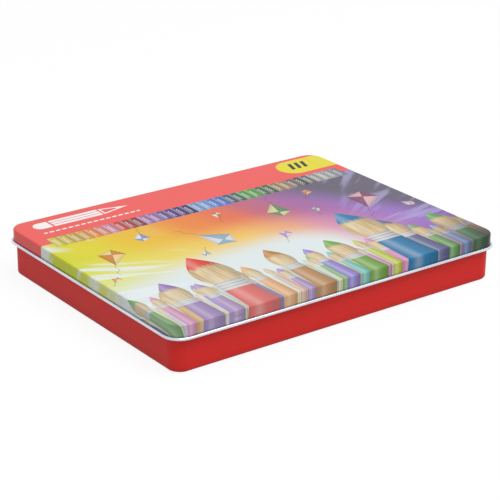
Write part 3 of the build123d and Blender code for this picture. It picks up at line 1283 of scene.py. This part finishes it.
class PENCILTIN_OT_finish_pencils(bpy.types.Operator):
    """Paint the barrels, bare their sharpened wood and colour their cores"""

    bl_idname = "penciltin.finish_pencils"
    bl_label = "Finish Pencils"

    def execute(self, context):
        rows = ((UPPER_FAMILIES, UPPER_PENCIL_Z), (LOWER_FAMILIES, LOWER_PENCIL_Z))
        for families, height in rows:
            for family in families:
                dress([f"{family}_barrels"], self.barrel(family, height))
                dress([f"{family}_cores"], self.core(family, height))
        return {"FINISHED"}

    @staticmethod
    def family_colour(tree, colour, turn):
        """The family's colour, a little darker on the first pencil and lighter on the last.
        The turn is -1, 0 and 1 on the three."""
        dark = tuple(channel * 0.45 for channel in colour)
        light = tuple(channel + (0.75 - channel) * 0.35 for channel in colour)
        family = mixed(tree, fade(turn, -0.2, -0.8) * 0.45, colour, dark)
        return mixed(tree, fade(turn, 0.2, 0.8) * 0.6, family, light)

    def barrel(self, family, height):
        material, tree, shader = new_material(f"{family.title()} Paint")
        pencil = use_group(tree, "Pencil", Axis_Height=height)
        wood = use_group(
            tree,
            "Cedar",
            Local_X=pencil["Local X"],
            Local_Z=pencil["Local Z"],
            Along=pencil["Along"],
        )
        bare = Field(tree, pencil["Bare"])
        turn = Field(tree, pencil["Turn"])
        paint = self.family_colour(tree, record_colour(f"{family}_paint"), turn)
        feed(tree, mixed(tree, bare, paint, wood["Colour"]), shader.inputs["Base Color"])
        feed(tree, bare * 0.38 + 0.28, shader.inputs["Roughness"])
        feed(tree, inverse(bare) * 0.45, shader.inputs["Coat Weight"])
        shader.inputs["Specular IOR Level"].default_value = 0.2
        shader.inputs["Coat Roughness"].default_value = 0.12
        set_bump(tree, shader, Field(tree, wood["Height"]) * (bare * 0.8 + 0.2), 0.06)
        return material

    def core(self, family, height):
        material, tree, shader = new_material(f"{family.title()} Pigment")
        pencil = use_group(tree, "Pencil", Axis_Height=height)
        x, y, z = place_in_mm(tree)
        crumbs = speckle(tree, joined(tree, x, y, z), 2.2, detail=3.0)
        pigment = self.family_colour(
            tree, record_colour(f"{family}_pigment"), Field(tree, pencil["Turn"])
        )
        waxy = toned(tree, pigment, 0.85 + crumbs * 0.25)
        feed(tree, waxy, shader.inputs["Base Color"])
        feed(tree, 0.45 + crumbs * 0.25, shader.inputs["Roughness"])
        set_bump(tree, shader, crumbs, 0.05)
        return material


class PENCILTIN_OT_set_stage(bpy.types.Operator):
    """Put down the floor and set the lamp, the light from all round and the camera"""

    bl_idname = "penciltin.set_stage"
    bl_label = "Set Stage"

    def execute(self, context):
        settings = context.scene.penciltin_stage
        self.lay_floor(context)
        self.hang_softbox(context, settings.softbox)
        self.light_world(context, settings.ambient)
        self.stand_camera(context, settings)
        context.scene.view_settings.view_transform = "Standard"
        return {"FINISHED"}

    @staticmethod
    def seen_directly(tree):
        """1 for the camera's own rays and for those that metal and gloss send on."""
        path = tree.nodes.new("ShaderNodeLightPath")
        rays = [
            Field(tree, path.outputs[name])
            for name in ("Is Camera Ray", "Is Glossy Ray", "Is Transmission Ray")
        ]
        return most(most(rays[0], rays[1]), rays[2])

    def lay_floor(self, context):
        mesh = bmesh.new()
        bmesh.ops.create_grid(
            mesh,
            x_segments=1,
            y_segments=1,
            size=FLOOR_HALF_SIDE,
            matrix=Matrix.Translation((0.0, 0.0, FLOOR_Z)),
        )
        data = bpy.data.meshes.new("floor")
        mesh.to_mesh(data)
        mesh.free()
        floor = bpy.data.objects.new("floor", data)
        context.scene.collection.objects.link(floor)
        material, tree, shader = new_material("Pale Floor")
        tree.nodes.remove(shader)
        paper = tree.nodes.new("ShaderNodeBsdfDiffuse")
        glow = tree.nodes.new("ShaderNodeEmission")
        glow.inputs["Strength"].default_value = 1.0
        blend = tree.nodes.new("ShaderNodeMixShader")
        seen = self.seen_directly(tree)
        feed(tree, mixed(tree, seen, BOUNCE, PAPER), paper.inputs["Color"])
        feed(tree, seen * PAPER_GLOW, blend.inputs[0])
        tree.links.new(paper.outputs[0], blend.inputs[1])
        tree.links.new(glow.outputs[0], blend.inputs[2])
        tree.links.new(blend.outputs[0], tree.nodes["Material Output"].inputs["Surface"])
        data.materials.append(material)

    @staticmethod
    def hang_softbox(context, power):
        lamp = bpy.data.lights.new("softbox", "AREA")
        lamp.shape = "RECTANGLE"
        lamp.size = SOFTBOX_WIDTH
        lamp.size_y = SOFTBOX_DEPTH
        lamp.energy = power
        softbox = bpy.data.objects.new("softbox", lamp)
        turn = SOFTBOX_PLACE.to_track_quat("Z", "Y").to_matrix().to_4x4()
        softbox.matrix_world = Matrix.Translation(SOFTBOX_PLACE) @ turn
        context.scene.collection.objects.link(softbox)

    def light_world(self, context, strength):
        world = bpy.data.worlds.new("studio")
        world.use_nodes = True
        tree = world.node_tree
        seen = self.seen_directly(tree)
        background = tree.nodes["Background"]
        background.inputs["Color"].default_value = (1.0, 1.0, 1.0, 1.0)
        feed(tree, seen + inverse(seen) * strength, background.inputs["Strength"])
        context.scene.world = world

    @staticmethod
    def stand_camera(context, settings):
        lens = bpy.data.cameras.new("camera")
        lens.lens = settings.lens
        lens.sensor_width = 36.0
        lens.clip_end = 50.0
        camera = bpy.data.objects.new("camera", lens)
        turn = Matrix((CAMERA_RIGHT, CAMERA_UP, CAMERA_BACK)).transposed()
        camera.matrix_world = Matrix.Translation(settings.camera) @ turn.to_4x4()
        context.scene.collection.objects.link(camera)
        context.scene.camera = camera


# ---------------------------------------------------------------- panel and registration

OPERATORS = (
    PENCILTIN_OT_shared_finishes,
    PENCILTIN_OT_print_lid,
    PENCILTIN_OT_print_base,
    PENCILTIN_OT_finish_pins,
    PENCILTIN_OT_make_pad,
    PENCILTIN_OT_finish_trays,
    PENCILTIN_OT_finish_pencils,
    PENCILTIN_OT_set_stage,
)

SETTINGS = {
    "penciltin_print": PrintSettings,
    "penciltin_pad": PadSettings,
    "penciltin_stage": StageSettings,
}


class PENCILTIN_PT_panel(bpy.types.Panel):
    """The settings and steps of the pencil tin"""

    bl_label = "Pencil Tin"
    bl_space_type = "VIEW_3D"
    bl_region_type = "UI"
    bl_category = "Pencil Tin"

    def draw(self, context):
        for name in SETTINGS:
            box = self.layout.box()
            group = getattr(context.scene, name)
            for setting in group.bl_rna.properties:
                if setting.identifier not in {"rna_type", "name"}:
                    box.prop(group, setting.identifier)
        for operator in OPERATORS:
            self.layout.operator(operator.bl_idname)


def register():
    for name, group in SETTINGS.items():
        bpy.utils.register_class(group)
        setattr(bpy.types.Scene, name, bpy.props.PointerProperty(type=group))
    for operator in OPERATORS:
        bpy.utils.register_class(operator)
    bpy.utils.register_class(PENCILTIN_PT_panel)


def unregister():
    bpy.utils.unregister_class(PENCILTIN_PT_panel)
    for operator in reversed(OPERATORS):
        bpy.utils.unregister_class(operator)
    for name, group in reversed(SETTINGS.items()):
        delattr(bpy.types.Scene, name)
        bpy.utils.unregister_class(group)


def main():
    register()
    bpy.ops.penciltin.shared_finishes()
    bpy.ops.penciltin.print_lid()
    bpy.ops.penciltin.print_base()
    bpy.ops.penciltin.finish_pins()
    bpy.ops.penciltin.make_pad()
    bpy.ops.penciltin.finish_trays()
    bpy.ops.penciltin.finish_pencils()
    bpy.ops.penciltin.set_stage()


if __name__ == "__main__":
    main()
